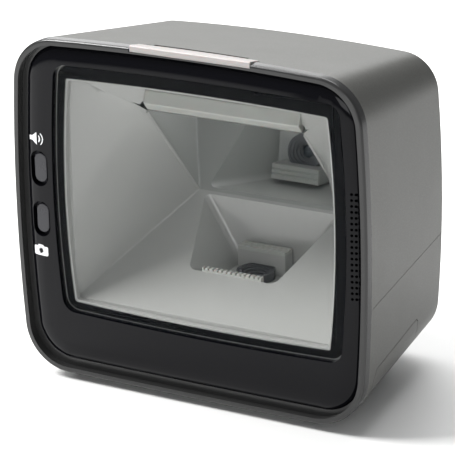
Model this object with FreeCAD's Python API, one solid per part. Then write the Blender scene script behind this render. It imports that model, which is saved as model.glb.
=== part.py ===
import FreeCAD, Part
import math
import os

# On-counter presentation barcode scanner, in millimetres.
# X runs to the right seen from the front, the window faces -Y, Z is up.
# The origin is on the counter, at the centre of the footprint.
# A camera looks straight up at a tilted mirror, which turns its view out through the window.

Vec = FreeCAD.Vector
os.makedirs("parts", exist_ok=True)

# ---------------------------------------------------------------- driving dimensions
width = 152.0             # bezel, left to right
height = 139.3            # counter to the top of the bezel
depth = 86.0              # front lip to rear cover
ground_gap = 2.6          # body above the counter, at the front

side_bulge = 3.1          # how far each side bows out between its corners
top_bulge = 2.4
base_bulge = 0.5
corner_radius = 19.0
lower_right_radius = 21.5

wall = 2.4                # moulded outer walls
seam_gap = 0.25           # open line between two outer mouldings
fit_gap = 0.2             # clearance between pieces that locate in each other

bezel_depth = 4.2         # lip front to the seam with the housing
lip_width = 2.3
lip_edge = 1.1            # rounding of the lip
skirt_length = 5.0        # bezel skirt that slips inside the housing
skirt_wall = 1.6
ledge_thickness = 2.0

window_x = 4.5            # window centre, right of the body centre
window_z = 78.5
glass_half_width = 62.7
glass_half_height = 50.6
glass_corner = 5.5
glass_thickness = 2.0
glass_setback = 1.0       # glass front behind the lip
glass_gap = 0.35
clear_half_width = 58.5   # see-through part inside the black border
clear_half_height = 46.45
clear_x = -1.2            # its centre, from the glass centre
clear_z = -1.3
clear_corner = 1.4
clear_bulge = 2.8
gasket_thickness = 0.6

panel_left = 75.6         # panel edges, measured from the window centre
panel_right = 68.9
panel_top = 58.1
panel_bottom = 70.6
panel_setback = 0.5
panel_corner = 15.5
panel_skin = 2.4
panel_roll = 2.6          # how far the panel face rolls back at its edge

taper = 9.0               # the housing narrows this much per side towards the back
top_drop = 12.8           # and its top falls this much
base_rise = 6.0           # and its base rises this much
back_corner = 15.0
back_base_corner = 18.0
rear_cover_depth = 4.6
rear_bevel = 4.0

button_x = -64.6
button_z = (85.6, 65.1)   # volume above, picture below
pocket_width = 8.0
pocket_height = 14.3
cap_width = 5.6
cap_height = 12.0
cap_sink = 1.2            # cap face below the panel face
button_travel = 0.8
plunger_radius = 1.5

grille_x = (69.6, 71.2, 72.6)
grille_z = 75.3           # middle row
grille_rows = 19
grille_pitch = 2.24
grille_radius = 0.55

light_bar_x = 3.6
light_bar_width = 51.0
light_bar_depth = 9.3
light_bar_bow = 1.9       # its back edge bows out this much
light_bar_proud = 0.8     # it stands this much above the bezel
light_bar_slope = 0.2

chamber_wall = 1.8
lip_inset = 0.8           # the chamber's lip shows this much inside the border
chamber_fillet = 0.8
bead_radius = 0.6         # raised beads along the mirror's sides
well_fillet = 3.0
chamber_start = 4.6       # behind the glass front
chamber_half_width = 58.0
chamber_low = -45.6       # heights here are from the window centre
chamber_high = 45.4
hood_top = (21.0, 37.4)   # behind the glass front, above the window centre
hood_nose = (19.0, 32.5)
hood_half = 33.5
mirror_half_width = 34.0
mirror_foot = (60.0, -14.8)   # behind the glass front, above the window centre
mirror_head = (22.0, 29.0)
mirror_thickness = 3.0
mirror_plate = 1.6

well_front = 25.0         # camera well in the chamber floor, behind the glass front
well_back = 58.6
well_front_half = 18.8
well_back_half = 30.3
well_floor = -41.0
well_wall = 1.5

lens_depth = 44.0         # camera axis behind the glass front
lens_top = -37.8
lens_radius = 7.5
bar_width = 21.0          # lamp bar beside the camera
bar_depth = 6.0
bar_centre = 51.8
bar_top_below = -31.0     # its face, from the window centre
plate_thickness = 1.4     # frosted plate over the lamp pocket
lamp_wall = 1.3

board_thickness = 1.6
main_board_z = 15.0
main_board_width = 84.0
main_board_depth = 56.0

port_z = 16.6             # underside of the sockets
host_x = -22.0
host_size = (15.6, 16.0, 12.6)
host_mouth = (11.8, 10.0, 7.0)
power_x = 8.0
power_size = (9.4, 14.0, 11.0)
power_mouth_radius = 3.1
power_pin_radius = 1.0

boss_radius = 3.6
boss_x = 49.0
boss_y = (-17.0, 25.0)
screw_radius = 1.4
screw_head_radius = 2.7
screw_head_height = 2.0
foot_radius = 3.9
foot_places = [(-53.5, -33.4), (50.5, -33.4), (-42.0, 27.0), (42.0, 27.0)]
foot_recess = 0.8
riser_spacing = 60.0      # threaded holes for a riser stand
riser_hole_radius = 1.65
riser_y = 4.0

# ---------------------------------------------------------------- places worked out from them
front_y = -depth / 2
back_y = depth / 2
seam_y = front_y + bezel_depth
housing_back_y = back_y - rear_cover_depth
glass_y = front_y + glass_setback
glass_back_y = glass_y + glass_thickness
ledge_y = glass_back_y + gasket_thickness
ledge_back_y = ledge_y + ledge_thickness
panel_y = front_y + panel_setback
left_x = -width / 2
right_x = width / 2
base_bulges = (base_bulge, side_bulge, top_bulge, side_bulge)


def at(x, behind_glass, above_centre):
    """A point given from the middle of the window glass."""
    return Vec(window_x + x, glass_y + behind_glass, window_z + above_centre)


def save(name, *shapes):
    """Write one node, which may hold several separate solids."""
    shape = shapes[0] if len(shapes) == 1 else Part.makeCompound(list(shapes))
    shape.exportStep(os.path.join("parts", name + ".step"))


# ---------------------------------------------------------------- shape helpers
def bulge_radius(span, bulge):
    return (span * span / 4 + bulge * bulge) / (2 * bulge)


def corner_arc(circle_a, circle_b, radius, near):
    """Start, middle and end of an arc that is tangent inside two large circles."""
    ax, az, a_radius = circle_a
    bx, bz, b_radius = circle_b
    reach_a, reach_b = a_radius - radius, b_radius - radius
    dx, dz = bx - ax, bz - az
    gap = math.hypot(dx, dz)
    along = (reach_a ** 2 - reach_b ** 2 + gap ** 2) / (2 * gap)
    across = math.sqrt(max(reach_a ** 2 - along ** 2, 0.0))
    centres = []
    for side in (1, -1):
        centres.append((ax + (along * dx - side * across * dz) / gap,
                        az + (along * dz + side * across * dx) / gap))
    cx, cz = min(centres, key=lambda c: math.hypot(c[0] - near[0], c[1] - near[1]))

    def touch(x, z, big_radius):
        scale = big_radius / math.hypot(cx - x, cz - z)
        return (x + (cx - x) * scale, z + (cz - z) * scale)

    start, end = touch(*circle_a), touch(*circle_b)
    mid_x, mid_z = (start[0] + end[0]) / 2 - cx, (start[1] + end[1]) / 2 - cz
    scale = radius / math.hypot(mid_x, mid_z)
    return start, (cx + mid_x * scale, cz + mid_z * scale), end


def outline(x_lo, x_hi, z_lo, z_hi, radii, bulges, y):
    """Closed outline at the depth y: four bowed sides joined by tangent corners.

    radii run from the lower right corner anticlockwise, and bulges from the base.
    """
    mid_x, mid_z = (x_lo + x_hi) / 2, (z_lo + z_hi) / 2
    base, right, top, left = (bulge_radius(span, bulge) for span, bulge in
                              zip((x_hi - x_lo, z_hi - z_lo) * 2, bulges))
    circles = [(mid_x, z_lo + base, base), (x_hi - right, mid_z, right),
               (mid_x, z_hi - top, top), (x_lo + left, mid_z, left)]
    poles = [(mid_x, z_lo), (x_hi, mid_z), (mid_x, z_hi), (x_lo, mid_z)]
    corners = [(x_hi, z_lo), (x_hi, z_hi), (x_lo, z_hi), (x_lo, z_lo)]
    arcs = [corner_arc(circles[i], circles[(i + 1) % 4], radii[i], corners[i]) for i in range(4)]
    edges = []
    for i in range(4):
        side = (arcs[i - 1][2], poles[i], arcs[i][0])
        for three in (side, arcs[i]):
            edges.append(Part.Arc(*[Vec(x, y, z) for x, z in three]).toShape())
    return Part.Wire(edges)


def prism(wire, y_end):
    """Straight solid from a wire in a Y plane to y_end."""
    return Part.Face(wire).extrude(Vec(0, y_end - wire.BoundBox.YMin, 0))


def loft(*wires):
    return Part.makeLoft(list(wires), True, True)


def box(x_lo, x_hi, y_lo, y_hi, z_lo, z_hi):
    return Part.makeBox(x_hi - x_lo, y_hi - y_lo, z_hi - z_lo, Vec(x_lo, y_lo, z_lo))


def centred_box(x, y, z, size):
    """Box centred on x and y, standing on z."""
    return box(x - size[0] / 2, x + size[0] / 2, y - size[1] / 2, y + size[1] / 2, z, z + size[2])


def post(x, y, z_lo, z_hi, radius):
    return Part.makeCylinder(radius, z_hi - z_lo, Vec(x, y, z_lo))


def rod(x, z, y_lo, y_hi, radius):
    """Cylinder along Y."""
    return Part.makeCylinder(radius, y_hi - y_lo, Vec(x, y_lo, z), Vec(0, 1, 0))


def obround(x, z, y_lo, y_hi, slot_width, slot_height):
    """Upright slot shape with round ends, along Y."""
    radius = slot_width / 2
    rise = slot_height / 2 - radius
    body = box(x - radius, x + radius, y_lo, y_hi, z - rise, z + rise)
    ends = [rod(x, z + side * rise, y_lo, y_hi, radius) for side in (1, -1)]
    return body.fuse(ends).removeSplitter()


def side_prism(points, x_lo, x_hi):
    """Solid with a (y, z) outline, extruded along X."""
    ring = [Vec(x_lo, y, z) for y, z in points]
    return Part.Face(Part.makePolygon(ring + ring[:1])).extrude(Vec(x_hi - x_lo, 0, 0))


def main_solid(shape):
    """The largest solid of a cut shape, without the crumbs."""
    return max(shape.removeSplitter().Solids, key=lambda solid: solid.Volume)


def quad(points):
    return Part.makePolygon(list(points) + [points[0]])


def rounded_quad(points, cut_back):
    """Flat quad wire whose corners are rounded off, starting cut_back from each corner."""
    edges, ends = [], []
    for i, corner in enumerate(points):
        before = (points[i - 1] - corner).normalize()
        after = (points[(i + 1) % 4] - corner).normalize()
        middle = (before + after).normalize()
        slant = middle.dot(after)
        radius = cut_back * math.sqrt(1 - slant ** 2) / slant
        start, end = corner + before * cut_back, corner + after * cut_back
        edges.append(Part.Arc(start, corner + middle * (cut_back / slant - radius), end).toShape())
        ends.append((start, end))
    for i in range(4):
        edges.insert(2 * i + 1, Part.makeLine(ends[i][1], ends[(i + 1) % 4][0]))
    return Part.Wire(edges)


def round_edges(solid, radius, wanted):
    """Fillet the edges that wanted accepts."""
    edges = [edge for edge in solid.Edges if wanted(edge)]
    return solid.makeFillet(radius, edges)


def edges_at_y(y):
    return lambda edge: abs(edge.BoundBox.YMin - y) < 1e-4 and abs(edge.BoundBox.YMax - y) < 1e-4


def edges_along(axis):
    """Straight edges that run along one axis."""
    def test(edge):
        size = (edge.BoundBox.XLength, edge.BoundBox.YLength, edge.BoundBox.ZLength)
        return size[axis] > 0.5 and all(size[i] < 1e-4 for i in range(3) if i != axis)
    return test


# ---------------------------------------------------------------- outlines of the body
def body_outline(y, inset=0.0):
    """Bezel and housing outline at the seam."""
    radius = corner_radius - inset
    return outline(left_x + inset, right_x - inset, ground_gap + inset, height - inset,
                   (lower_right_radius - inset, radius, radius, radius), base_bulges, y)


def back_outline(y, inset=0.0, extra=0.0):
    """Housing outline at the plane where the rear cover starts."""
    trim = taper + inset + extra
    return outline(left_x + trim, right_x - trim, ground_gap + base_rise + inset + extra,
                   height - top_drop - inset - extra,
                   (back_base_corner - inset, back_corner - inset,
                    back_corner - inset, back_base_corner - inset), base_bulges, y)


def panel_outline(y, inset):
    radius = panel_corner - inset
    return outline(window_x - panel_left + inset, window_x + panel_right - inset,
                   window_z - panel_bottom + inset, window_z + panel_top - inset,
                   (radius,) * 4, base_bulges, y)


def glass_outline(y, outset=0.0):
    radius = glass_corner + outset
    return outline(window_x - glass_half_width - outset, window_x + glass_half_width + outset,
                   window_z - glass_half_height - outset, window_z + glass_half_height + outset,
                   (radius,) * 4, (1.4, clear_bulge, 1.3, clear_bulge), y)


def clear_outline(y, inset=0.0):
    x, z = window_x + clear_x, window_z + clear_z
    return outline(x - clear_half_width + inset, x + clear_half_width - inset,
                   z - clear_half_height + inset, z + clear_half_height - inset,
                   (clear_corner,) * 4, (1.4, clear_bulge, 1.3, clear_bulge), y)


def housing_width_at(y):
    """Half width of the housing wall's outside at mid height."""
    return right_x - taper * (y - seam_y) / (housing_back_y - seam_y)


def base_z_at(y):
    """Height of the housing's underside."""
    return ground_gap + base_rise * (y - seam_y) / (housing_back_y - seam_y)


body_solid = prism(body_outline(front_y), seam_y)
body_solid = round_edges(body_solid, lip_edge, edges_at_y(front_y))
housing_outer = loft(body_outline(seam_y), back_outline(housing_back_y))
housing_inner = loft(body_outline(seam_y, wall), back_outline(housing_back_y, wall))

# ---------------------------------------------------------------- good-read light bar
bar_left = light_bar_x - light_bar_width / 2
bar_right = light_bar_x + light_bar_width / 2
bar_low = height - lip_width + 0.4
bar_front = front_y + 0.25
bar_back = front_y + light_bar_depth
bar_top = height + light_bar_proud
light_bar = side_prism([(bar_front, bar_low), (bar_front, bar_top),
                        (bar_back, bar_top - light_bar_slope * light_bar_depth), (bar_back, bar_low)],
                       bar_left, bar_right)
bow_radius = bulge_radius(light_bar_width, light_bar_bow)
light_bar = light_bar.common(post(light_bar_x, bar_back - bow_radius, 0, height + 5, bow_radius))
light_bar = round_edges(light_bar, 0.8, lambda edge: edge.BoundBox.ZMin > bar_top - 0.01)
guide_y = seam_y + 2.6
guide_low = height - 8.0
light_guide = box(bar_left + 6, bar_right - 6, guide_y, guide_y + 3, guide_low, bar_low + 0.4)
save("good_read_light_bar", light_bar.fuse(light_guide).removeSplitter())

bar_notch = box(bar_left - 0.15, bar_right + 0.15, front_y - 1, bar_back + 1, bar_low, height + 2)
bar_notch = bar_notch.common(post(light_bar_x, bar_back + 0.25 - bow_radius, 0, height + 5, bow_radius))
guide_slot = box(bar_left + 5.5, bar_right - 5.5, guide_y - 0.4, guide_y + 3.4, guide_low - 1, height + 1)

led_board_top = guide_low - 1.6
led_board_y = (guide_y - 0.6, guide_y + 8.4)
save("indicator_board", box(bar_left + 4, bar_right - 4, *led_board_y,
                            led_board_top - board_thickness, led_board_top))
led_count = 6
led_step = (light_bar_width - 16) / (led_count - 1)
led_size = (2.8, 2.4, 1.2)
save("indicator_leds", *[centred_box(bar_left + 8 + i * led_step, guide_y + 1.5, led_board_top, led_size)
                         for i in range(led_count)])

# ---------------------------------------------------------------- bezel frame
skirt_back_y = seam_y + skirt_length
skirt = housing_inner.common(box(left_x, right_x, seam_y, skirt_back_y, 0, height))
skirt = skirt.cut(prism(body_outline(seam_y - 1, wall + skirt_wall), skirt_back_y + 1))
ring = body_solid.cut(prism(body_outline(front_y - 1, lip_width), seam_y + 1))
ledge = prism(body_outline(ledge_y, wall + 0.6), ledge_back_y)
ledge = ledge.cut(prism(glass_outline(ledge_y - 1, 1.0), ledge_back_y + 1))
bridge = prism(body_outline(ledge_y, lip_width - 0.3), seam_y)
bridge = bridge.cut(prism(body_outline(ledge_y - 1, wall + 0.8), seam_y + 1))
bezel_frame = ring.fuse([skirt, ledge, bridge])
for z in button_z:
    bezel_frame = bezel_frame.cut(obround(button_x, z, ledge_y - 1, ledge_back_y + 1,
                                          pocket_width + 1.6, pocket_height + 1.6))
sound_slot = box(grille_x[0] - 0.9, grille_x[-1] - 0.4, ledge_y - 1, ledge_back_y + 1,
                 grille_z - 21, grille_z + 21)
bezel_frame = bezel_frame.cut([sound_slot, bar_notch, guide_slot])

button_board_low = button_z[1] - 11.5
button_board_high = button_z[0] + 11.5
switch_y = ledge_back_y + 4.2
switch_size = (6.0, 3.4, 6.0)
button_board_y = switch_y + switch_size[1]
for z in (button_board_low + 1.6, (button_board_low + button_board_high) / 2, button_board_high - 1.6):
    bezel_frame = bezel_frame.fuse(rod(button_x, z, ledge_back_y - 0.5, button_board_y, 1.4))

# lugs that hold the light chamber: centre of each screw and the lug's reach towards the window
pilot_radius = screw_radius - 0.05
lugs = [(-66.6, 34.0, (7.5, 0.0)), (-66.6, -34.0, (7.5, 0.0)),
        (-38.0, -56.6, (0.0, 9.0)), (38.0, -56.6, (0.0, 9.0))]
for x, z, reach in lugs:
    pilot = rod(window_x + x, window_z + z, ledge_y + 0.4, ledge_back_y + 1, pilot_radius)
    bezel_frame = bezel_frame.cut(pilot)
save("bezel_frame", bezel_frame.removeSplitter())

# ---------------------------------------------------------------- front panel
panel_steps = ((0.0, panel_roll), (0.6, 1.7), (1.6, 0.95), (3.4, 0.4), (6.5, 0.0))
panel = loft(panel_outline(ledge_y, 0.0),
             *[panel_outline(panel_y + back, inset) for inset, back in panel_steps])
panel_hollow = prism(panel_outline(panel_y + panel_skin + 0.2, panel_skin), ledge_y + 1)
opening_rim = prism(glass_outline(panel_y + panel_skin, 2.0), ledge_y + 1)
panel = panel.cut(panel_hollow.cut(opening_rim))
panel = panel.cut(prism(glass_outline(front_y - 1, glass_gap), ledge_y + 1))
for z in button_z:
    sleeve = obround(button_x, z, panel_y + 2, ledge_y, pocket_width + 1.6, pocket_height + 1.6)
    panel = panel.fuse(sleeve.common(prism(panel_outline(panel_y + 2, 0.6), ledge_y)))
    panel = panel.cut(obround(button_x, z, front_y - 1, ledge_y + 1, pocket_width, pocket_height))
first_row = grille_z - (grille_rows - 1) / 2 * grille_pitch
holes = [rod(x, first_row + row * grille_pitch, front_y - 1, ledge_y + 1, grille_radius)
         for x in grille_x for row in range(grille_rows)]
panel = panel.cut(Part.makeCompound(holes))
save("front_panel", panel.removeSplitter())

# ---------------------------------------------------------------- window
save("window_glass", prism(glass_outline(glass_y), glass_back_y))
gasket = prism(glass_outline(glass_back_y, -0.3), ledge_y)
save("window_border", gasket.cut(prism(clear_outline(glass_back_y - 1), ledge_y + 1)))

# ---------------------------------------------------------------- buttons
cap_y = panel_y + cap_sink
flange_y = ledge_y + 0.4
flange_back_y = flange_y + 1.2
stem_end_y = switch_y - button_travel - 0.8
for name, z in zip(("volume", "picture"), button_z):
    cap = obround(button_x, z, cap_y, flange_back_y, cap_width, cap_height)
    cap = round_edges(cap, 0.5, edges_at_y(cap_y))
    flange = obround(button_x, z, flange_y, flange_back_y, pocket_width + 0.8, pocket_height + 0.8)
    stem = rod(button_x, z, flange_back_y - 0.5, stem_end_y, 2.2)
    save(name + "_button", cap.fuse([flange, stem]).removeSplitter())
    plunger = rod(button_x, z, stem_end_y, switch_y + 1.0, plunger_radius)
    save(name + "_switch_plunger", plunger)
bodies = []
for z in button_z:
    body = box(button_x - switch_size[0] / 2, button_x + switch_size[0] / 2,
               switch_y, switch_y + switch_size[1], z - switch_size[2] / 2, z + switch_size[2] / 2)
    bodies.append(body.cut(rod(button_x, z, switch_y - 1, switch_y + 2.4, plunger_radius + 0.15)))
save("switch_bodies", *bodies)
save("button_board", box(button_x - 4.6, button_x + 4.6, button_board_y,
                         button_board_y + board_thickness, button_board_low, button_board_high))

# ---------------------------------------------------------------- speaker behind the grille
speaker_x = 66.8
duct_x = (66.4, 71.2)
duct_length = 7.0
speaker_y = ledge_back_y + duct_length
speaker_half = (4.2, 17.0)
speaker_depth = 5.0


def speaker_block(inset, y_lo, y_hi):
    block = box(speaker_x - speaker_half[0] + inset, speaker_x + speaker_half[0] - inset, y_lo, y_hi,
                grille_z - speaker_half[1] + inset, grille_z + speaker_half[1] - inset)
    return round_edges(block, max(3.0 - inset, 0.6), edges_along(1))


speaker_frame = speaker_block(0, speaker_y, speaker_y + speaker_depth)
speaker_frame = speaker_frame.cut(speaker_block(1.0, speaker_y - 1, speaker_y + speaker_depth - 1.2))
save("speaker_frame", speaker_frame)
cone = speaker_block(1.0, speaker_y + 0.8, speaker_y + 1.4)
coil = rod(speaker_x, grille_z, speaker_y + 1.3, speaker_y + 2.8, 2.0)
save("speaker_cone", cone.fuse(coil).removeSplitter())
magnet_y = speaker_y + speaker_depth
save("speaker_magnet", rod(speaker_x, grille_z, magnet_y, magnet_y + 3.0, 4.0))
duct = box(*duct_x, ledge_back_y, speaker_y, grille_z - speaker_half[1], grille_z + speaker_half[1])
duct_hole = box(duct_x[0] + 0.8, duct_x[1] - 0.8, ledge_back_y - 1, speaker_y + 1,
                grille_z - speaker_half[1] + 2, grille_z + speaker_half[1] - 2)
save("speaker_duct", duct.cut(duct_hole))

# ---------------------------------------------------------------- light chamber
mirror_slope = (mirror_foot[0] - mirror_head[0]) / (mirror_foot[1] - mirror_head[1])
floor_slope = (mirror_foot[1] - chamber_low) / (mirror_foot[0] - chamber_start)


def mirror_depth(above):
    """How far behind the glass front the mirror face is, at a height from the window centre."""
    return mirror_foot[0] + mirror_slope * (above - mirror_foot[1])


def floor_height(behind):
    return chamber_low + floor_slope * (behind - chamber_start)


def flat_solid(points, faces):
    """Solid from corner points and the point numbers of each flat face."""
    shell = Part.makeShell([Part.Face(quad([points[i] for i in face])) for face in faces])
    return Part.makeSolid(shell)


def funnel(outset):
    """Inside of the chamber, grown by outset: a tapered body and the wedge that reaches the hood."""
    half, back_half = chamber_half_width + outset, mirror_half_width + outset
    low, high = mirror_foot[1] - outset, mirror_head[1] + outset
    floor, ceiling = chamber_low - outset, chamber_high + outset
    mouth = [at(-half, chamber_start, floor), at(half, chamber_start, floor),
             at(half, chamber_start, ceiling), at(-half, chamber_start, ceiling)]
    far = [at(-back_half, mirror_depth(low), low), at(back_half, mirror_depth(low), low),
           at(back_half, mirror_depth(high), high), at(-back_half, mirror_depth(high), high)]
    top_half = hood_half + outset
    top = [at(-top_half, hood_top[0] + outset, hood_top[1] + outset),
           at(top_half, hood_top[0] + outset, hood_top[1] + outset)]
    wedge = flat_solid([mouth[3], mouth[2], far[3], far[2]] + top,
                       [(0, 1, 3, 2), (0, 1, 5, 4), (2, 3, 5, 4), (0, 2, 4), (1, 3, 5)])
    body = loft(quad(mouth), quad(far))
    body = round_edges(body, chamber_fillet,
                       lambda edge: edge.BoundBox.YLength > 20 and edge.BoundBox.ZMax < window_z)
    return body.fuse(wedge)


def behind_mirror(offset, thickness, low, high, half_width):
    """Slab parallel to the mirror, from offset behind its face."""
    tilt = math.hypot(1, mirror_slope)
    points = []
    for above, step in ((low, offset), (high, offset), (high, offset + thickness), (low, offset + thickness)):
        points.append((glass_y + mirror_depth(above) + step / tilt,
                       window_z + above - step * mirror_slope / tilt))
    return side_prism(points, window_x - half_width, window_x + half_width)


lamp_back = 30.5
hood_back = 24.0
hood_board_y = glass_y + 27.0
chamber = funnel(chamber_wall)
flange = prism(glass_outline(ledge_y, 0.7), ledge_back_y)
lug_plates = []
for x, z, reach in lugs:
    lug_plates.append(box(window_x + x - 3.5, window_x + x + 3.5 + reach[0], ledge_back_y, ledge_back_y + 1.8,
                          window_z + z - 3.5, window_z + z + 3.5 + reach[1]))
chamber = chamber.fuse([flange] + lug_plates)
chamber = chamber.cut(prism(clear_outline(ledge_y - 1, lip_inset), ledge_back_y + 0.5))
chamber = chamber.cut(behind_mirror(0.0, 60, -60, mirror_head[1] + 0.1, 90))
lamp_box = side_prism([(glass_y + behind, window_z + above) for behind, above in
                       ((hood_top[0], 32.4), (lamp_back, 32.4), (lamp_back, 40.6), (hood_top[0] - 6, 41.6),
                        (hood_top[0] - 6, 38.0))],
                      window_x - hood_half - chamber_wall, window_x + hood_half + chamber_wall)
lamp_room = box(window_x - hood_half, window_x + hood_half, glass_y + hood_back,
                glass_y + lamp_back - chamber_wall, window_z + 20, window_z + hood_top[1])
hood_points = [hood_top, hood_nose, (21.9, mirror_head[1] + 0.2), (hood_back, mirror_head[1] + 2.3),
               (hood_back, hood_top[1])]
hood = side_prism([(glass_y + behind, window_z + above) for behind, above in hood_points],
                  window_x - hood_half, window_x + hood_half)
chamber = chamber.fuse(lamp_box).cut([funnel(0.0), lamp_room, hood])
bead_rise = mirror_head[1] - mirror_foot[1] - 1.0
bead_run = Vec(0, mirror_slope * bead_rise, bead_rise)
for side in (-1, 1):
    bead_foot = at(side * mirror_half_width, mirror_foot[0], mirror_foot[1])
    bead = Part.makeCylinder(bead_radius, bead_run.Length, bead_foot, bead_run)
    chamber = chamber.fuse(bead.cut(behind_mirror(0.0, 60, -60, 60, 90)))


def well_corner(side, behind, outset=0.0):
    """Corner of the camera well where it cuts the chamber floor."""
    share = (behind - well_front) / (well_back - well_front)
    half = well_front_half + share * (well_back_half - well_front_half) + outset
    return at(side * half, behind, floor_height(behind))


def well_funnel(outset, floor_z, lift):
    """Well solid, from lift above the chamber floor down to floor_z."""
    top = [well_corner(-1, well_front - outset, outset), well_corner(1, well_front - outset, outset),
           well_corner(1, well_back + outset, outset), well_corner(-1, well_back + outset, outset)]
    foot_half, foot_front, foot_back = 13.0 + outset, 35.0 - outset, 56.0 + outset
    foot = [at(-foot_half, foot_front, floor_z), at(foot_half, foot_front, floor_z),
            at(foot_half, foot_back, floor_z), at(-foot_half, foot_back, floor_z)]
    body = loft(rounded_quad(foot, well_fillet + outset / 2), rounded_quad(top, well_fillet + outset / 2))
    if lift:
        cover = Part.Face(rounded_quad(top, well_fillet + outset / 2))
        body = body.fuse(cover.extrude(Vec(0, 0, lift)))
    return body


chamber = chamber.cut(well_funnel(0.0, well_floor, 6.0))
strip_y = glass_y + well_front
strip_z = window_z + floor_height(well_front)
strip_half = 13.0
strip = box(window_x - strip_half, window_x + strip_half, strip_y, strip_y + 2.2,
            strip_z - 2.6, strip_z + 1.6)
chamber = chamber.cut(strip)
screws = []
head_y = ledge_back_y + 1.8
for x, z, reach in lugs:
    x, z = window_x + x, window_z + z
    chamber = chamber.cut(rod(x, z, ledge_back_y - 1, ledge_back_y + 3, screw_radius + 0.2))
    screws.append(rod(x, z, ledge_y + 0.4, head_y, pilot_radius).fuse(
        rod(x, z, head_y, head_y + 1.6, screw_head_radius - 0.4)))
save("light_chamber", main_solid(chamber))
save("chamber_screws", *screws)

# ---------------------------------------------------------------- fold mirror and its plate
save("fold_mirror", behind_mirror(0.0, mirror_thickness, mirror_foot[1] - 1.5, mirror_head[1],
                                  mirror_half_width + 1.4))
save("mirror_plate", behind_mirror(mirror_thickness, mirror_plate, mirror_foot[1] + 1, mirror_head[1] - 4,
                                   mirror_half_width - 4))

# ---------------------------------------------------------------- hood lamp
save("hood_diffuser", hood)
save("hood_led_board", box(window_x - hood_half, window_x + hood_half, hood_board_y,
                           hood_board_y + board_thickness, window_z + 32.4, window_z + hood_top[1]))
hood_led_step = 54.0 / 7
hood_led_x = [window_x - 27 + i * hood_led_step for i in range(8)]
save("hood_leds", *[box(x - 1.5, x + 1.5, hood_board_y - 1.4, hood_board_y, window_z + 33.6, window_z + 36.2)
                    for x in hood_led_x])

# ---------------------------------------------------------------- camera well and camera
well = well_funnel(well_wall, well_floor - well_wall, 0.0).cut(well_funnel(0.0, well_floor, 0.0))
camera_y = glass_y + lens_depth
well_floor_z = window_z + well_floor
well = well.cut([funnel(chamber_wall), strip])
bar_y = glass_y + bar_centre
bar_z = window_z + bar_top_below
lamp_board_z = bar_z - 6.0
plate_z = bar_z - plate_thickness
lamp_hollow = (bar_width - 2 * lamp_wall, bar_depth - 2 * lamp_wall, plate_z - well_floor_z + well_wall + 1)
well = well.fuse(centred_box(window_x, bar_y, well_floor_z - well_wall,
                             (bar_width, bar_depth, plate_z - well_floor_z + well_wall)))
well = well.cut(centred_box(window_x, bar_y, well_floor_z - well_wall - 1, lamp_hollow))
lens_room = post(window_x, camera_y, well_floor_z - 5, window_z + lens_top + 0.5, lens_radius + 0.3)
well = well.cut(lens_room)
well = well.cut(behind_mirror(-0.2, 8, mirror_foot[1] - 2, 0, 60))
save("camera_well", main_solid(well))

camera_board_z = 24.0
barrel_top = window_z + lens_top
barrel_low = camera_board_z + board_thickness + 3.4
barrel = post(window_x, camera_y, barrel_low, barrel_top, lens_radius)
for ring in range(4):
    barrel = barrel.cut(post(window_x, camera_y, barrel_top - ring * 0.9 - 0.5, barrel_top + 1,
                             lens_radius - 1.0 - ring * 1.1))
barrel = barrel.cut(post(window_x, camera_y, barrel_low - 1, barrel_top + 1, 2.6))
save("lens_barrel", barrel)
glass_low = barrel_top - 4.4
lens = post(window_x, camera_y, glass_low - 1.4, glass_low, 2.6)
dome_radius = 5.2
dome_centre = Vec(window_x, camera_y, glass_low - math.sqrt(dome_radius ** 2 - 2.6 ** 2))
dome = Part.makeSphere(dome_radius, dome_centre)
dome = dome.common(post(window_x, camera_y, glass_low - 0.2, glass_low + 3, 2.6))
save("camera_lens", lens.fuse(dome).removeSplitter())
holder = centred_box(window_x, camera_y, camera_board_z + board_thickness, (20, 20, 8))
holder = holder.cut(post(window_x, camera_y, barrel_low, 60, lens_radius + 0.01))
holder = holder.cut(post(window_x, camera_y, 20, 60, 5.0))
save("lens_holder", holder)
save("image_sensor", centred_box(window_x, camera_y, camera_board_z + board_thickness, (6.4, 5.6, 1.2)))
save("camera_board", centred_box(window_x, camera_y, camera_board_z, (34, 30, board_thickness)))
standoff_places = [(window_x + side_x * 14, camera_y + side_y * 11.5)
                   for side_x in (1, -1) for side_y in (1, -1)]
save("camera_standoffs", *[post(x, y, main_board_z + board_thickness, camera_board_z, 2.0)
                           for x, y in standoff_places])

# ---------------------------------------------------------------- lamp bar beside the camera
lamp_board_top = lamp_board_z + 1.2
lamp_bar = centred_box(window_x, bar_y, plate_z, (bar_width, bar_depth, plate_thickness))
for side in (-1, 1):
    groove_start = Vec(window_x - bar_width / 2 - 1, bar_y + side, bar_z)
    lamp_bar = lamp_bar.cut(Part.makeCylinder(0.35, bar_width + 2, groove_start, Vec(1, 0, 0)))
save("lamp_bar", lamp_bar)
save("lamp_board", centred_box(window_x, bar_y, lamp_board_z,
                               (bar_width - 2 * lamp_wall, bar_depth - 2 * lamp_wall, 1.2)))
save("lamp_leds", *[centred_box(window_x + i * 6, bar_y, lamp_board_top, (3.0, 2.4, 1.2))
                    for i in (-1, 0, 1)])

tooth_pitch = 2.0
teeth = [box(window_x - 12.3 + i * tooth_pitch, window_x - 11.7 + i * tooth_pitch,
             strip_y - 1, strip_y + 3, strip_z + 0.7, strip_z + 2) for i in range(13)]
save("aiming_light_strip", strip.cut(Part.makeCompound(teeth)))

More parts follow.
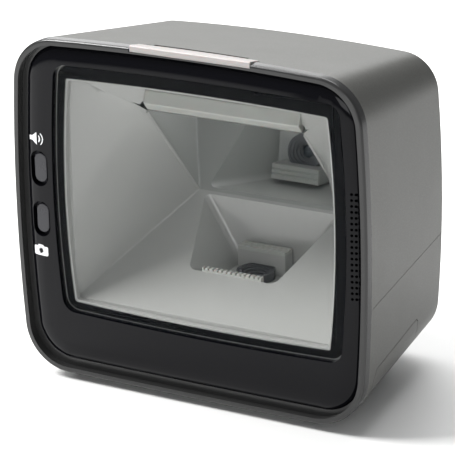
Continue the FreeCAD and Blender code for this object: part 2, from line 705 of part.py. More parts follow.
# ---------------------------------------------------------------- main board, sockets and chips
board_y = (housing_back_y - main_board_depth - 1.0, housing_back_y - 1.0)
main_board = box(-main_board_width / 2, main_board_width / 2, board_y[0], board_y[1],
                 main_board_z, main_board_z + board_thickness)
board_top = main_board_z + board_thickness
board_holes = [(side_x * 37.0, y) for side_x in (1, -1) for y in (board_y[0] + 5, board_y[1] - 12)]
for x, y in board_holes:
    main_board = main_board.cut(post(x, y, main_board_z - 1, board_top + 1, screw_radius + 0.2))
save("main_board", main_board)
chips = [(-27.0, -6.0, (12, 12, 1.4)), (-27.0, 9.0, (9, 7, 1.1)), (30.0, -2.0, (8, 10, 1.2)),
         (33.0, 12.0, (5, 5, 2.8)), (26.0, 14.0, (4, 6, 2.4)), (-15.0, 18.0, (5, 4, 1.0))]
save("board_chips", *[centred_box(x, y, board_top, size) for x, y, size in chips])

port_y = back_y - 1.6
host = box(host_x - host_size[0] / 2, host_x + host_size[0] / 2, port_y - host_size[1], port_y,
           port_z, port_z + host_size[2])
mouth_z = port_z + 2.4
mouth = box(host_x - host_mouth[0] / 2, host_x + host_mouth[0] / 2, port_y - host_mouth[1], port_y + 1,
            mouth_z, mouth_z + host_mouth[2])
latch = box(host_x - 3.1, host_x + 3.1, port_y - host_mouth[1] + 2, port_y + 1,
            mouth_z + 6.8, mouth_z + 8.4)
save("host_socket", host.cut([mouth, latch]))
contact_pitch = 1.02
contact_x = [host_x + (i - 4.5) * contact_pitch for i in range(10)]
save("host_contacts", *[box(x - 0.2, x + 0.2, port_y - host_mouth[1], port_y - 3.0, mouth_z, mouth_z + 0.5)
                        for x in contact_x])
power_z = port_z + power_size[2] / 2
jack = box(power_x - power_size[0] / 2, power_x + power_size[0] / 2,
           port_y - power_size[1], port_y, port_z, port_z + power_size[2])
save("power_jack", jack.cut(rod(power_x, power_z, port_y - 9.5, port_y + 1, power_mouth_radius)))
save("power_pin", rod(power_x, power_z, port_y - 9.5, port_y - 0.8, power_pin_radius))

# ---------------------------------------------------------------- cables between the boards
ribbon = 0.3
camera_edge = camera_y - 15
ribbon_low = camera_board_z - ribbon
ribbon_high = board_top + ribbon
ribbon_points = [(camera_edge + 1, ribbon_low), (camera_edge - 3 + ribbon, ribbon_low),
                 (camera_edge - 3 + ribbon, ribbon_high), (camera_edge + 2, ribbon_high),
                 (camera_edge + 2, board_top), (camera_edge - 3, board_top),
                 (camera_edge - 3, camera_board_z), (camera_edge + 1, camera_board_z)]
save("camera_ribbon", side_prism(ribbon_points, window_x - 6, window_x + 6))

# ---------------------------------------------------------------- housing, base and rear cover
cover_front = seam_y + 5.0
cover_rear = 14.6         # the cover's side wings end here
wing_front_z, wing_back_z = 24.0, 27.2
cover_seam_rise = 0.6     # behind them the joint runs this far above the floor


def cover_region(gap):
    """Side profile of the base cover's share of the shell, grown by gap."""
    end = back_y + 1
    seam_rise = wall + cover_seam_rise + gap
    points = [(cover_front - gap, -5), (cover_front + 1.2 - gap, 20.5),
              (cover_front + 3.4 - gap, wing_front_z + gap), (cover_rear - 1.6 + gap, wing_back_z + gap),
              (cover_rear + gap, wing_back_z - 1.4 + gap),
              (cover_rear + gap, base_z_at(cover_rear) + seam_rise),
              (end, base_z_at(end) + seam_rise), (end, -5)]
    return side_prism(points, -width, width)


shell = housing_outer.cut(housing_inner)
housing = shell.cut(cover_region(seam_gap))
base = shell.common(cover_region(0.0))
housing = housing.cut([bar_notch, guide_slot])
for side in (-1, 1):
    hanger_x = light_bar_x + side * (light_bar_width / 2 - 6)
    hanger = post(hanger_x, led_board_y[1] - 2, led_board_top, height, 1.8)
    housing = housing.fuse(hanger.common(housing_outer))

# fine parting line around the upper body
line_z, line_rise, line_width, line_depth = 50.5, 3.4, 0.2, 0.2
line_points = [(seam_y, line_z), (housing_back_y, line_z + line_rise),
               (housing_back_y, line_z + line_rise + line_width), (seam_y, line_z + line_width)]
line_core = loft(body_outline(seam_y, line_depth), back_outline(housing_back_y, line_depth))
housing = housing.cut(side_prism(line_points, -width, width).cut(line_core))

gusset_low = wing_back_z + 1.0
boss_top = gusset_low + 10
board_post_top = main_board_z
base_screws, housing_bosses = [], []
for side in (1, -1):
    for y in boss_y:
        x = side * boss_x
        half = housing_width_at(y) - wall / 2
        web = box(min(x, side * half), max(x, side * half), y - 1.2, y + 1.2, gusset_low, boss_top)
        ear = post(x, y, gusset_low, boss_top, boss_radius).fuse(web.common(housing_outer))
        ear = ear.cut(post(x, y, gusset_low - 1, boss_top - 2, pilot_radius))
        housing_bosses.append(ear)
        bottom = base_z_at(y)
        boss = post(x, y, bottom, gusset_low - fit_gap, boss_radius + 0.6).common(housing_outer)
        base = base.fuse(boss)
        base = base.cut([post(x, y, -1, boss_top, screw_radius + 0.2),
                         post(x, y, -1, bottom + 5.0, screw_head_radius + 0.3)])
        head_z = bottom + 5.0 - screw_head_height
        screw = post(x, y, head_z, bottom + 5.0, screw_head_radius)
        base_screws.append(screw.fuse(post(x, y, bottom + 5.0, boss_top - 3, pilot_radius)))
housing = housing.fuse(housing_bosses)
save("base_screws", *base_screws)

for x, y in board_holes:
    base = base.fuse(post(x, y, base_z_at(y) + 0.5, board_post_top, 3.2).common(housing_outer))
    base = base.cut(post(x, y, board_post_top - 6, board_post_top + 1, pilot_radius))
save("board_screws", *[post(x, y, board_post_top - 5.5, board_top, pilot_radius).fuse(
    post(x, y, board_top, board_top + 1.6, screw_head_radius - 0.4)) for x, y in board_holes])

inserts = []
insert_length = 5.0
for side in (1, -1):
    x = side * riser_spacing / 2
    low = base_z_at(riser_y)
    pad = post(x, riser_y, low, low + insert_length + 2, 4.6).common(housing_outer)
    base = base.fuse(pad)
    base = base.cut(post(x, riser_y, -1, low + insert_length + 0.6, 2.4))
    sleeve = post(x, riser_y, low + 0.6, low + 0.6 + insert_length, 2.4)
    inserts.append(sleeve.cut(post(x, riser_y, 0, 30, riser_hole_radius)))
save("riser_inserts", *inserts)

feet = []
for x, y in foot_places:
    pad_top = base_z_at(y) + foot_recess + 0.3
    foot = post(x, y, 0, pad_top, foot_radius)
    feet.append(round_edges(foot, 0.6, lambda edge: edge.BoundBox.ZMax < 1e-4))
    hole = post(x, y, -1, pad_top, foot_radius)
    housing = housing.cut(hole)
    base = base.cut(hole)
save("rubber_feet", *feet)
save("housing_shell", housing.removeSplitter())
save("base_cover", base.removeSplitter())

cover_outer = loft(back_outline(housing_back_y + seam_gap), back_outline(back_y - 3.0, 0, 0.9))
cover_outer = cover_outer.fuse(loft(back_outline(back_y - 3.0, 0, 0.9), back_outline(back_y, 0, rear_bevel)))
cover_inner = prism(back_outline(housing_back_y - 1, wall + 1.8), back_y - wall)
rear_cover = cover_outer.cut(cover_inner)
tongue = housing_inner.common(box(left_x, right_x, housing_back_y - 3, housing_back_y, 0, height))
tongue = tongue.fuse(prism(back_outline(housing_back_y, wall), housing_back_y + 1.5))
tongue = tongue.cut(prism(back_outline(housing_back_y - 4, wall + 1.8), housing_back_y + 3))
rear_cover = rear_cover.fuse(tongue)
port_gap = 0.4
rear_cover = rear_cover.cut([
    box(host_x - host_size[0] / 2 - port_gap, host_x + host_size[0] / 2 + port_gap,
        housing_back_y - 5, back_y + 1, port_z - port_gap, port_z + host_size[2] + port_gap),
    box(power_x - power_size[0] / 2 - port_gap, power_x + power_size[0] / 2 + port_gap,
        housing_back_y - 5, back_y + 1, port_z - port_gap, port_z + power_size[2] + port_gap)])
save("rear_cover", rear_cover.removeSplitter())
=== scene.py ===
"""Looks for an on-counter presentation barcode scanner.

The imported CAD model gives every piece's place. Each class below takes one sub-assembly of the scanner,
rebuilds its pieces with soft edges and clean shading, and dresses them in procedural finishes.
Sizes in the classes are millimetres; Blender works in metres.
"""

import logging
import math
from dataclasses import dataclass, field
from enum import Enum

import bmesh
import bpy
from mathutils import Matrix, Vector
from mathutils.bvhtree import BVHTree

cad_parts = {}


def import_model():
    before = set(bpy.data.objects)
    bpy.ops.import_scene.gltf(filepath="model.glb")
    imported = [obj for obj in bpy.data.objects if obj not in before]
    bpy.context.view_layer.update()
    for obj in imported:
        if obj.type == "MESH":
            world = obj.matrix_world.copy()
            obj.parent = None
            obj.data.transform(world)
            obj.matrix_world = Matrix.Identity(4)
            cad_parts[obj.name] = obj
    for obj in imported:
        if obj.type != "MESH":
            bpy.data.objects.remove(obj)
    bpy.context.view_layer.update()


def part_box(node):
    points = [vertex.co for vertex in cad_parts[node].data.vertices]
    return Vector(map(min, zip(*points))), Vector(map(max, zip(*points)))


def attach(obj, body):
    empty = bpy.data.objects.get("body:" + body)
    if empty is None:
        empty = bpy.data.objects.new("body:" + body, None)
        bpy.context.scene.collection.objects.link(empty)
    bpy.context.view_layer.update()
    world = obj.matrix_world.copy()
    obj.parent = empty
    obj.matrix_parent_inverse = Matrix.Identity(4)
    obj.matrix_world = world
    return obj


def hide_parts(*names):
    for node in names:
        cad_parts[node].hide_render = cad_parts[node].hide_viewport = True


LOG = logging.getLogger("scanner")
MM = 0.001
SCATTER_MM = 2        # how far light spreads inside a milky plastic
WELD_MM = 0.002       # points closer than this are one
FLAT_DEGREES = 0.05   # faces that turn less than this are one
SIGN_STEP_MM = 0.5    # longest edge of a printed sign's mesh
SIGN_SINK_MM = 0.01   # the ink's back lies this far under the surface


# ------------------------------------------------------------------ colour and node helpers
def srgb(code: str) -> tuple[float, float, float, float]:
    """Turn an sRGB hex code into a linear colour.

    Args:
        code: Six hex digits, such as "4c4c50".

    Returns:
        Linear red, green, blue and an alpha of 1.
    """
    parts = [int(code[i:i + 2], 16) / 255 for i in (0, 2, 4)]
    linear = [p / 12.92 if p <= 0.04045 else ((p + 0.055) / 1.055) ** 2.4 for p in parts]
    return (linear[0], linear[1], linear[2], 1.0)


def add_node(tree: bpy.types.NodeTree, kind: str, settings: dict | None = None,
             links: dict | None = None) -> bpy.types.Node:
    """Add a node, set its values and link its inputs.

    Args:
        tree: Node tree that takes the node.
        kind: Blender's node type name.
        settings: Input values by socket name or number, or node properties by name.
        links: Output sockets by the input socket name or number they feed.

    Returns:
        The new node.
    """
    node = tree.nodes.new(kind)
    for key, value in (settings or {}).items():
        if isinstance(key, int) or key in node.inputs:
            node.inputs[key].default_value = value
        else:
            setattr(node, key, value)
    for key, socket in (links or {}).items():
        tree.links.new(socket, node.inputs[key])
    return node


# ------------------------------------------------------------------ finishes
@dataclass(frozen=True)
class Finish:
    """A moulded or coated surface: an even colour with fine tone, sheen and grain."""

    name: str
    colour: str
    roughness: float
    metallic: float = 0.0
    ior: float = 1.5
    tone_mm: float = 18.0
    tone: float = 0.04
    grain_mm: float = 0.4
    grain_depth_mm: float = 0.004
    sheen_spread: float = 0.05
    coat: float = 0.0
    coat_roughness: float = 0.05
    alpha: float = 1.0
    subsurface: float = 0.0
    stretch: tuple[float, float, float] = (1.0, 1.0, 1.0)

    def material(self) -> bpy.types.Material:
        """Build the material, or find it if it already exists.

        Returns:
            The material, which all pieces with this finish share.
        """
        if self.name in bpy.data.materials:
            return bpy.data.materials[self.name]
        made = bpy.data.materials.new(self.name)
        made.use_nodes = True
        tree = made.node_tree
        tree.nodes.clear()
        shader = add_node(tree, "ShaderNodeBsdfPrincipled", {
            "Metallic": self.metallic, "IOR": self.ior, "Alpha": self.alpha,
            "Coat Weight": self.coat, "Coat Roughness": self.coat_roughness,
            "Subsurface Weight": self.subsurface, "Subsurface Scale": SCATTER_MM * MM})
        place = add_node(tree, "ShaderNodeTexCoord").outputs["Object"]
        if self.stretch != (1.0, 1.0, 1.0):
            place = add_node(tree, "ShaderNodeMapping", {"Scale": self.stretch}, {"Vector": place}).outputs[0]
        tree.links.new(self.tint(tree, place), shader.inputs["Base Color"])
        tree.links.new(self.sheen(tree, place), shader.inputs["Roughness"])
        tree.links.new(self.relief(tree, place), shader.inputs["Normal"])
        add_node(tree, "ShaderNodeOutputMaterial", links={"Surface": shader.outputs[0]})
        return made

    def tint(self, tree: bpy.types.NodeTree, place: bpy.types.NodeSocket) -> bpy.types.NodeSocket:
        """Colour that drifts a little over the surface, as real mouldings and coats do.

        Args:
            tree: Node tree that takes the nodes.
            place: Socket with the point's place on the object.

        Returns:
            Socket with the colour.
        """
        base = srgb(self.colour)
        cloud = add_node(tree, "ShaderNodeTexNoise", {"Scale": 1 / (self.tone_mm * MM), "Detail": 4.0},
                         {"Vector": place})
        dark = tuple(c * (1 - self.tone) for c in base[:3]) + (1.0,)
        light = tuple(min(c * (1 + self.tone), 1.0) for c in base[:3]) + (1.0,)
        mix = add_node(tree, "ShaderNodeMix", {"data_type": "RGBA"})
        mix.inputs[6].default_value, mix.inputs[7].default_value = dark, light
        tree.links.new(cloud.outputs["Fac"], mix.inputs[0])
        return mix.outputs[2]

    def sheen(self, tree: bpy.types.NodeTree, place: bpy.types.NodeSocket) -> bpy.types.NodeSocket:
        """Roughness with a slow drift.

        Args:
            tree: Node tree that takes the nodes.
            place: Socket with the point's place on the object.

        Returns:
            Socket with the roughness.
        """
        cloud = add_node(tree, "ShaderNodeTexNoise", {"Scale": 1 / (self.tone_mm * 0.6 * MM), "Detail": 3.0},
                         {"Vector": place})
        low, high = max(self.roughness - self.sheen_spread, 0.0), min(self.roughness + self.sheen_spread, 1.0)
        return add_node(tree, "ShaderNodeMapRange", {"To Min": low, "To Max": high},
                        {"Value": cloud.outputs["Fac"]}).outputs[0]

    def relief(self, tree: bpy.types.NodeTree, place: bpy.types.NodeSocket) -> bpy.types.NodeSocket:
        """Surface grain from a fine noise of the real grain size.

        Args:
            tree: Node tree that takes the nodes.
            place: Socket with the point's place on the object.

        Returns:
            Socket with the bent normal.
        """
        grain = add_node(tree, "ShaderNodeTexNoise", {"Scale": 1 / (self.grain_mm * MM), "Detail": 2.0},
                         {"Vector": place})
        return add_node(tree, "ShaderNodeBump", {"Strength": 1.0, "Distance": self.grain_depth_mm * MM},
                        {"Height": grain.outputs["Fac"]}).outputs[0]


@dataclass(frozen=True)
class FlakeLacquer(Finish):
    """Sprayed lacquer with fine metal flake over moulded plastic."""

    flake_mm: float = 0.5
    flake: float = 0.10
    flake_colour: str = "d8d8d4"

    def tint(self, tree: bpy.types.NodeTree, place: bpy.types.NodeSocket) -> bpy.types.NodeSocket:
        """Slow tone drift with lighter flake specks on top.

        Args:
            tree: Node tree that takes the nodes.
            place: Socket with the point's place on the object.

        Returns:
            Socket with the colour.
        """
        base = super().tint(tree, place)
        specks = add_node(tree, "ShaderNodeTexVoronoi", {"Scale": 1 / (self.flake_mm * MM)}, {"Vector": place})
        share = add_node(tree, "ShaderNodeMapRange", {"From Min": 0.0, "From Max": 0.45, "To Min": self.flake,
                                                      "To Max": 0.0}, {"Value": specks.outputs["Distance"]})
        mix = add_node(tree, "ShaderNodeMix", {"data_type": "RGBA"})
        mix.inputs[7].default_value = srgb(self.flake_colour)
        tree.links.new(share.outputs[0], mix.inputs[0])
        tree.links.new(base, mix.inputs[6])
        return mix.outputs[2]


@dataclass(frozen=True)
class BoardFinish(Finish):
    """Solder mask over copper tracks."""

    track_mm: float = 1.6
    track_length_mm: float = 9.0
    gap_mm: float = 0.18
    track_colour: str = "3f8f5a"

    def tint(self, tree: bpy.types.NodeTree, place: bpy.types.NodeSocket) -> bpy.types.NodeSocket:
        """Lighter bands where the copper lies under the mask.

        Args:
            tree: Node tree that takes the nodes.
            place: Socket with the point's place on the object.

        Returns:
            Socket with the colour.
        """
        base = super().tint(tree, place)
        tracks = add_node(tree, "ShaderNodeTexBrick", {
            "Scale": 1.0, "Mortar Size": self.gap_mm * MM, "Brick Width": self.track_length_mm * MM,
            "Row Height": self.track_mm * MM}, {"Vector": place})
        mix = add_node(tree, "ShaderNodeMix", {"data_type": "RGBA"})
        mix.inputs[7].default_value = srgb(self.track_colour)
        tree.links.new(tracks.outputs["Fac"], mix.inputs[0])
        tree.links.new(base, mix.inputs[6])
        return mix.outputs[2]


class Surface(Enum):
    """Every finish on the scanner, named for the real material and how its surface was made."""

    # sprayed metallic graphite over ABS: satin, with a fine sparkle
    GRAPHITE = FlakeLacquer("Sprayed graphite lacquer on ABS", "4c4c48", 0.42, metallic=0.20, tone_mm=40,
                            tone=0.03, grain_mm=0.45, grain_depth_mm=0.006, sheen_spread=0.03)
    # polished black ABS: mirror gloss with a faint waviness from the mould
    GLOSS_BLACK = Finish("Polished black ABS", "08080c", 0.06, ior=1.26, tone_mm=30, grain_mm=9.0,
                         grain_depth_mm=0.004, sheen_spread=0.02)
    # satin dark lacquer on the lip, a shade lighter than the panel inside it
    LIP = Finish("Satin dark grey lacquer on ABS", "343434", 0.24, metallic=0.25, tone_mm=30, grain_mm=0.5,
                 grain_depth_mm=0.003, sheen_spread=0.03)
    # clear flat glass, anti-reflection treated
    WINDOW = Finish("Clear coated float glass", "20282a", 0.02, alpha=0.07, grain_mm=30, grain_depth_mm=0.0005,
                    sheen_spread=0.01)
    # screen-printed ceramic black on the back of the glass
    PRINT_BLACK = Finish("Screen-printed black enamel", "050508", 0.10, ior=1.12, tone_mm=12, grain_mm=0.8,
                         grain_depth_mm=0.002)
    # frosted polycarbonate light pipe, milky all through
    LIGHT_PIPE = Finish("Frosted polycarbonate light pipe", "a5a09e", 0.30, subsurface=0.15, tone_mm=10,
                        grain_mm=0.3, grain_depth_mm=0.003)
    # satin dark grey button caps, moulded
    BUTTON = Finish("Satin moulded ABS button cap", "26262b", 0.26, tone_mm=6, grain_mm=0.3, grain_depth_mm=0.003)
    # light grey chamber, semi-gloss moulding
    CHAMBER = Finish("Semi-gloss light grey polycarbonate", "adaeab", 0.17, coat=0.5, coat_roughness=0.08,
                     tone_mm=25, tone=0.02, grain_mm=0.5, grain_depth_mm=0.003, sheen_spread=0.05)
    # evaporated aluminium first-surface mirror
    MIRROR = Finish("Evaporated aluminium mirror", "e6e8e8", 0.03, metallic=1.0, tone_mm=30, tone=0.01,
                    grain_mm=20, grain_depth_mm=0.0005, sheen_spread=0.01)
    # pressed sheet: soft metal sheen with fine rolling lines
    SHEET = Finish("Pressed aluminium sheet", "a9aaac", 0.38, metallic=1.0, grain_mm=0.5, stretch=(1, 12, 1))
    # frosted acrylic that spreads the lamps' light
    DIFFUSER = Finish("Frosted acrylic diffuser", "b4b6b1", 0.20, subsurface=0.1, tone_mm=8, grain_mm=0.25,
                      grain_depth_mm=0.003)
    # solder mask over copper: semi-gloss green with paler tracks
    BOARD = BoardFinish("Solder-masked glass-epoxy board", "0f3a22", 0.28, tone_mm=6, grain_mm=1.2)
    # moulded epoxy: dull near-black
    CHIP = Finish("Moulded epoxy chip package", "1b1b1d", 0.55, grain_mm=0.2, grain_depth_mm=0.005)
    # phosphor-filled silicone in a small package: pale yellow
    LED = Finish("Lamp package with phosphor", "f2e9b8", 0.35, tone_mm=1.5, grain_mm=0.2)
    # zinc plate on turned steel: bright grey with fine lines
    STEEL = Finish("Zinc-plated steel screw", "b4b6b8", 0.30, metallic=1.0, grain_mm=0.3, stretch=(1, 1, 8))
    # turned brass: warm metal with fine turning lines
    BRASS = Finish("Turned brass", "d0a85a", 0.28, metallic=1.0, grain_mm=0.25, stretch=(1, 1, 10))
    # gold flash on spring metal: smooth and warm
    GOLD = Finish("Gold-plated contact", "e2bd6c", 0.22, metallic=1.0, grain_mm=0.3)
    # moulded nylon: dull black with a light grain
    SOCKET = Finish("Black nylon socket housing", "18181a", 0.45, grain_mm=0.25, grain_depth_mm=0.006)
    # moulded rubber: matt black with a coarser grain
    RUBBER = Finish("Moulded black rubber", "161617", 0.75, tone_mm=5, grain_mm=0.35, grain_depth_mm=0.012)
    # anodised aluminium, turned: satin grey-black that catches light on its rings
    LENS_BLACK = Finish("Anodised black lens barrel", "55565a", 0.22, tone_mm=4, grain_mm=0.15,
                        grain_depth_mm=0.004)
    # coated glass: dark and clear with a sharp shine
    LENS = Finish("Coated optical glass", "20303f", 0.03, ior=1.6, coat=1.0, tone_mm=6, tone=0.3, grain_mm=8,
                  grain_depth_mm=0.0005, sheen_spread=0.01)
    # moulded switch housing: dull black
    SWITCH = Finish("Moulded black switch housing", "1f1f20", 0.45, grain_mm=0.25)
    # moulded plunger: plain red
    PLUNGER = Finish("Moulded red plunger", "a93a26", 0.40, grain_mm=0.2)
    # formed film: dark with shallow ripples
    CONE = Finish("Formed film diaphragm", "3a3a3d", 0.5, grain_mm=0.8, grain_depth_mm=0.02)
    # polyimide film over copper: translucent amber
    RIBBON = Finish("Polyimide flexible circuit", "b06a1c", 0.25, grain_mm=0.6, stretch=(6, 1, 1))
    # pad-printed ink: even matt white
    WHITE_INK = Finish("Pad-printed white ink", "e6e7e8", 0.45, tone_mm=3, tone=0.02, grain_mm=0.2,
                       grain_depth_mm=0.001)


# ------------------------------------------------------------------ mesh helpers
def soften(node: str, name: str, surface: Surface, body: str = "root", edge_mm: float = 0.0,
           angle: float = 30.0, segments: int = 2) -> bpy.types.Object:
    """Make a detailed piece from a CAD node: welded, smooth where it curves, with soft edges.

    Args:
        node: CAD node that the piece stands for.
        name: Name of the new piece.
        surface: Finish that it gets.
        body: CAD body that it rides on.
        edge_mm: Width of the softened edges; none if 0.
        angle: Edges sharper than this, in degrees, stay crisp or are softened.
        segments: Steps across a softened edge.

    Returns:
        The new piece.
    """
    source = bpy.data.objects[node]
    mesh = source.data.copy()
    mesh.name = name
    work = bmesh.new()
    work.from_mesh(mesh)
    bmesh.ops.remove_doubles(work, verts=work.verts, dist=WELD_MM * MM)
    bmesh.ops.dissolve_limit(work, angle_limit=math.radians(FLAT_DEGREES), verts=work.verts,
                             edges=work.edges)
    limit = math.radians(angle)
    for face in work.faces:
        face.smooth = True
    for edge in work.edges:
        edge.smooth = len(edge.link_faces) == 2 and edge.calc_face_angle(0.0) < limit
    work.to_mesh(mesh)
    work.free()
    mesh.materials.clear()
    mesh.materials.append(surface.value.material())
    piece = bpy.data.objects.new(name, mesh)
    bpy.context.scene.collection.objects.link(piece)
    if edge_mm > 0:
        bevel = piece.modifiers.new("soft edges", "BEVEL")
        bevel.width, bevel.segments = edge_mm * MM, segments
        bevel.limit_method, bevel.angle_limit = "ANGLE", limit
        bevel.harden_normals, bevel.use_clamp_overlap = True, True
    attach(piece, body)
    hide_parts(node)
    LOG.info("%s from %s, %d faces", name, node, len(mesh.polygons))
    return piece


def dress(node: str, surface: Surface) -> None:
    """Put a finish on a CAD node that stays as it is.

    Args:
        node: CAD node that gets the finish.
        surface: Finish that it gets.
    """
    mesh = bpy.data.objects[node].data
    mesh.materials.clear()
    mesh.materials.append(surface.value.material())
    LOG.info("%s dressed in %s", node, surface.value.name)


def printed_piece(name: str, rings: list[list[tuple[float, float]]], under: str, ink: float,
                  surface: Surface) -> bpy.types.Object:
    """Thin printed shape that follows a CAD node's front surface.

    Args:
        name: Name of the piece.
        rings: Closed outlines in millimetres of x and z, each a solid patch.
        under: CAD node that is printed on.
        ink: Thickness of the ink, in metres.
        surface: Finish that it gets.

    Returns:
        The new piece.
    """
    printed = bpy.data.objects[under]
    turn = printed.matrix_world
    tree = BVHTree.FromPolygons([turn @ v.co for v in printed.data.vertices],
                                [tuple(face.vertices) for face in printed.data.polygons])
    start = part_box(under)[0].y - 0.01
    work = bmesh.new()
    for ring in rings:
        work.faces.new([work.verts.new((x * MM, start, z * MM)) for x, z in ring])
    bmesh.ops.triangulate(work, faces=work.faces)
    for _ in range(3):
        long_edges = [edge for edge in work.edges if edge.calc_length() > SIGN_STEP_MM * MM]
        bmesh.ops.subdivide_edges(work, edges=long_edges, cuts=1)
        bmesh.ops.triangulate(work, faces=work.faces)
    sheet = list(work.faces)
    for vert in work.verts:
        hit = tree.ray_cast(vert.co, Vector((0, 1, 0)))[0]
        vert.co.y = hit.y + SIGN_SINK_MM * MM
    moved = bmesh.ops.extrude_face_region(work, geom=sheet)
    for item in moved["geom"]:
        if isinstance(item, bmesh.types.BMVert):
            item.co.y -= ink
    bmesh.ops.recalc_face_normals(work, faces=work.faces)
    mesh = bpy.data.meshes.new(name)
    work.to_mesh(mesh)
    work.free()
    mesh.materials.append(surface.value.material())
    piece = bpy.data.objects.new(name, mesh)
    bpy.context.scene.collection.objects.link(piece)
    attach(piece, "root")
    LOG.info("%s, %d faces", name, len(mesh.polygons))
    return piece


def arc_points(x: float, z: float, radius: float, start: float, end: float,
               steps: int) -> list[tuple[float, float]]:
    """Points along an arc.

    Args:
        x: Arc's centre, sideways.
        z: Arc's centre, upwards.
        radius: Arc's radius.
        start: Angle of the first point, in degrees from +x.
        end: Angle of the last point, in degrees from +x.
        steps: Number of steps between the two.

    Returns:
        Pairs of x and z.
    """
    turns = [math.radians(start + (end - start) * i / steps) for i in range(steps + 1)]
    return [(x + radius * math.cos(t), z + radius * math.sin(t)) for t in turns]


# ------------------------------------------------------------------ sub-assemblies
@dataclass
class Body:
    """Housing, base cover and rear cover, and the feet and screws under them."""

    smooth_below: float = 24.0

    def build(self) -> None:
        """Build and dress the outer mouldings."""
        for node in ("housing_shell", "base_cover", "rear_cover"):
            soften(node, node + "_lacquered", Surface.GRAPHITE, angle=self.smooth_below)
        soften("rubber_feet", "rubber_feet_moulded", Surface.RUBBER)
        dress("base_screws", Surface.STEEL)
        dress("riser_inserts", Surface.BRASS)


@dataclass
class Front:
    """Bezel lip, front panel, light bar and printed signs."""

    smooth_below: float = 35.0
    ink_mm: float = 0.06
    speaker_at: tuple[float, float] = (-65.3, 97.6)
    camera_at: tuple[float, float] = (-65.4, 52.2)

    def build(self) -> None:
        """Build and dress the front's fixed pieces."""
        soften("bezel_frame", "bezel_lip_lacquered", Surface.LIP, angle=self.smooth_below)
        soften("front_panel", "front_panel_polished", Surface.GLOSS_BLACK, angle=self.smooth_below)
        soften("good_read_light_bar", "light_bar_frosted", Surface.LIGHT_PIPE, edge_mm=0.2)
        self.signs()

    def signs(self) -> None:
        """Print the plain sound and picture signs beside the buttons."""
        x, z = self.speaker_at
        horn = [(x - 3.3, z - 0.9), (x - 1.9, z - 0.9), (x + 0.2, z - 2.5), (x + 0.2, z + 2.5), (x - 1.9, z + 0.9),
                (x - 3.3, z + 0.9)]
        waves = [arc_points(x, z, r, -48, 48, 12) + arc_points(x, z, r - 0.45, 48, -48, 12) for r in (1.9, 3.2)]
        printed_piece("sound_sign", [horn] + waves, "front_panel", self.ink_mm * MM, Surface.WHITE_INK)
        x, z = self.camera_at
        lens = arc_points(x, z - 0.2, 1.15, 90, 270, 12)
        case = [(x, z + 2.2), (x - 1.1, z + 2.2), (x - 1.6, z + 1.6), (x - 2.9, z + 1.6), (x - 3.3, z + 1.2),
                (x - 3.3, z - 1.8), (x - 2.9, z - 2.2), (x, z - 2.2)]
        left = case + lens[::-1]
        right = [(2 * x - a, b) for a, b in left][::-1]
        printed_piece("picture_sign", [left, right], "front_panel", self.ink_mm * MM, Surface.WHITE_INK)


@dataclass
class Keys:
    """The two press buttons with their switches."""

    names: tuple[str, str] = ("volume", "picture")
    edge_mm: float = 0.12

    def build(self) -> None:
        """Build the caps on their own bodies and dress the switches."""
        for name in self.names:
            soften(name + "_button", name + "_cap", Surface.BUTTON, body=name + "_key",
                   edge_mm=self.edge_mm)
            dress(name + "_switch_plunger", Surface.PLUNGER)
        dress("switch_bodies", Surface.SWITCH)
        dress("button_board", Surface.BOARD)


@dataclass
class Optics:
    """Window, light chamber, mirror, lamps and camera."""

    fillet_mm: float = 0.7

    def build(self) -> None:
        """Build what shows through the window."""
        soften("window_glass", "window_pane", Surface.WINDOW)
        soften("window_border", "window_print", Surface.PRINT_BLACK)
        soften("light_chamber", "chamber_moulding", Surface.CHAMBER, edge_mm=self.fillet_mm, angle=12,
               segments=2)
        soften("camera_well", "camera_well_moulding", Surface.CHAMBER, edge_mm=0.4, angle=14)
        soften("fold_mirror", "mirror_plate_silvered", Surface.MIRROR)
        soften("hood_diffuser", "hood_bar_frosted", Surface.DIFFUSER, edge_mm=0.5, angle=20,
               segments=3)
        soften("lamp_bar", "lamp_bar_frosted", Surface.DIFFUSER, edge_mm=0.15)
        soften("aiming_light_strip", "aiming_strip_frosted", Surface.DIFFUSER, edge_mm=0.12)
        soften("lens_barrel", "lens_barrel_turned", Surface.LENS_BLACK, edge_mm=0.1)
        soften("camera_lens", "camera_lens_polished", Surface.LENS)
        dress("mirror_plate", Surface.SHEET)
        dress("lens_holder", Surface.LENS_BLACK)
        dress("image_sensor", Surface.CHIP)
        dress("chamber_screws", Surface.STEEL)
        for node in ("camera_board", "hood_led_board", "lamp_board", "indicator_board"):
            dress(node, Surface.BOARD)
        for node in ("indicator_leds", "hood_leds", "lamp_leds"):
            dress(node, Surface.LED)
        dress("camera_standoffs", Surface.BRASS)
        dress("camera_ribbon", Surface.RIBBON)


@dataclass
class Electronics:
    """Main board, sockets and speaker."""

    edge_mm: float = 0.15
    pin_edge_mm: float = 0.2

    def build(self) -> None:
        """Dress the inner pieces and soften the sockets that show at the back."""
        soften("host_socket", "data_socket_moulded", Surface.SOCKET, edge_mm=self.edge_mm)
        soften("power_jack", "power_jack_moulded", Surface.SOCKET, edge_mm=self.edge_mm)
        soften("power_pin", "power_pin_turned", Surface.GOLD, edge_mm=self.pin_edge_mm)
        for node, surface in (("host_contacts", Surface.GOLD), ("main_board", Surface.BOARD),
                              ("board_chips", Surface.CHIP), ("board_screws", Surface.STEEL),
                              ("speaker_frame", Surface.SWITCH), ("speaker_cone", Surface.CONE),
                              ("speaker_magnet", Surface.STEEL), ("speaker_duct", Surface.RUBBER)):
            dress(node, surface)


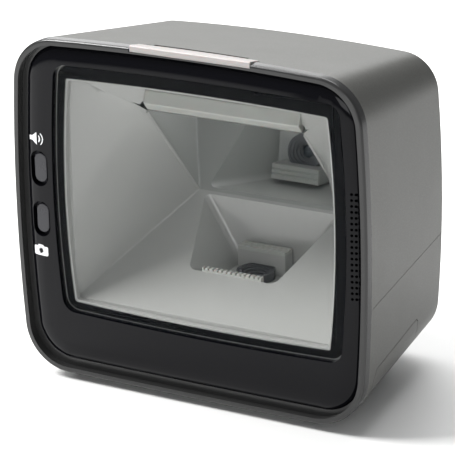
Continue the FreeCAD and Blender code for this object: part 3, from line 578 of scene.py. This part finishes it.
# ------------------------------------------------------------------ studio
@dataclass
class Softbox:
    """A soft rectangular light."""

    name: str
    place: tuple[float, float, float]
    aim: tuple[float, float, float]
    size: tuple[float, float]
    power: float

    def build(self) -> None:
        """Hang the light and turn it to its aim."""
        lamp = bpy.data.lights.new(self.name, "AREA")
        lamp.shape, lamp.size, lamp.size_y, lamp.energy = "RECTANGLE", self.size[0], self.size[1], self.power
        holder = bpy.data.objects.new(self.name, lamp)
        holder.location = self.place
        holder.rotation_euler = (Vector(self.aim) - Vector(self.place)).to_track_quat("-Z", "Y").to_euler()
        bpy.context.scene.collection.objects.link(holder)


@dataclass
class Studio:
    """Floor, lights and camera."""

    azimuth: float = 30.80
    elevation: float = 19.66
    roll: float = -1.605
    distance: float = 1.0406
    target: tuple[float, float, float] = (0.0045, -0.042, 0.0785)
    lens: float = 221.54
    shift: tuple[float, float] = (0.0692, -0.0335)
    floor_half: float = 4.0
    sky_colour: str = "e8eaec"
    sky_strength: float = 0.32
    lights: list[Softbox] = field(default_factory=lambda: [
        # from the front left, for the shadow on the right
        Softbox("key_softbox", (-0.95, -0.45, 1.2), (0.0, 0.0, 0.05), (0.6, 0.6), 32),
        Softbox("top_softbox", (-0.3, 0.5, 1.3), (0.0, 0.0, 0.1), (1.2, 0.9), 18),
        # low behind, for the sheen on the top
        Softbox("back_softbox", (-0.75, 1.25, 0.62), (0.0, 0.0, 0.12), (1.0, 0.6), 4.8),
        Softbox("front_softbox", (0.4, -1.5, 0.5), (0.0, 0.0, 0.08), (0.8, 0.5), 4.5)])

    def floor(self) -> None:
        """Lay a plain pale floor."""
        mesh = bpy.data.meshes.new("floor")
        half = self.floor_half
        corner_places = [(-half, -half, 0), (half, -half, 0), (half, half, 0), (-half, half, 0)]
        mesh.from_pydata(corner_places, [], [(0, 1, 2, 3)])
        mesh.materials.append(Finish("Matt white paper sweep", "f4f4f3", 0.6, tone_mm=300, tone=0.01, grain_mm=0.6,
                                     grain_depth_mm=0.002).material())
        sweep = bpy.data.objects.new("floor", mesh)
        bpy.context.scene.collection.objects.link(sweep)

    def camera(self) -> None:
        """Stand the camera and aim it at the window's centre."""
        turn, tip, roll = (math.radians(v) for v in (self.azimuth, self.elevation, self.roll))
        side = Vector((math.cos(turn), math.sin(turn), 0.0))
        back = Vector((math.sin(turn) * math.cos(tip), -math.cos(turn) * math.cos(tip), math.sin(tip)))
        rise = back.cross(side)
        x_axis = side * math.cos(roll) + rise * math.sin(roll)
        y_axis = rise * math.cos(roll) - side * math.sin(roll)
        data = bpy.data.cameras.new("camera")
        data.lens, data.sensor_width = self.lens, 36.0
        data.shift_x, data.shift_y = self.shift
        data.clip_start, data.clip_end = 0.05, 20.0
        stand = bpy.data.objects.new("camera", data)
        bpy.context.scene.collection.objects.link(stand)
        place = Matrix((x_axis, y_axis, back)).transposed().to_4x4()
        place.translation = Vector(self.target) + back * self.distance
        stand.matrix_world = place
        bpy.context.scene.camera = stand

    def build(self) -> None:
        """Set up the whole studio."""
        self.floor()
        self.camera()
        for light in self.lights:
            light.build()
        world = bpy.data.worlds.new("studio")
        world.use_nodes = True
        sky = world.node_tree.nodes["Background"]
        sky.inputs[0].default_value, sky.inputs[1].default_value = srgb(self.sky_colour), self.sky_strength
        scene = bpy.context.scene
        scene.world = world
        scene.view_settings.view_transform = "Standard"
        scene.view_settings.look = "None"


def main() -> None:
    """Load the frame, build every sub-assembly and set up the studio."""
    logging.basicConfig(level=logging.INFO, format="%(name)s: %(message)s")
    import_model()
    for part in (Body(), Front(), Keys(), Optics(), Electronics()):
        LOG.info("building %s", type(part).__name__)
        part.build()
    Studio().build()


if __name__ == "__main__":
    main()
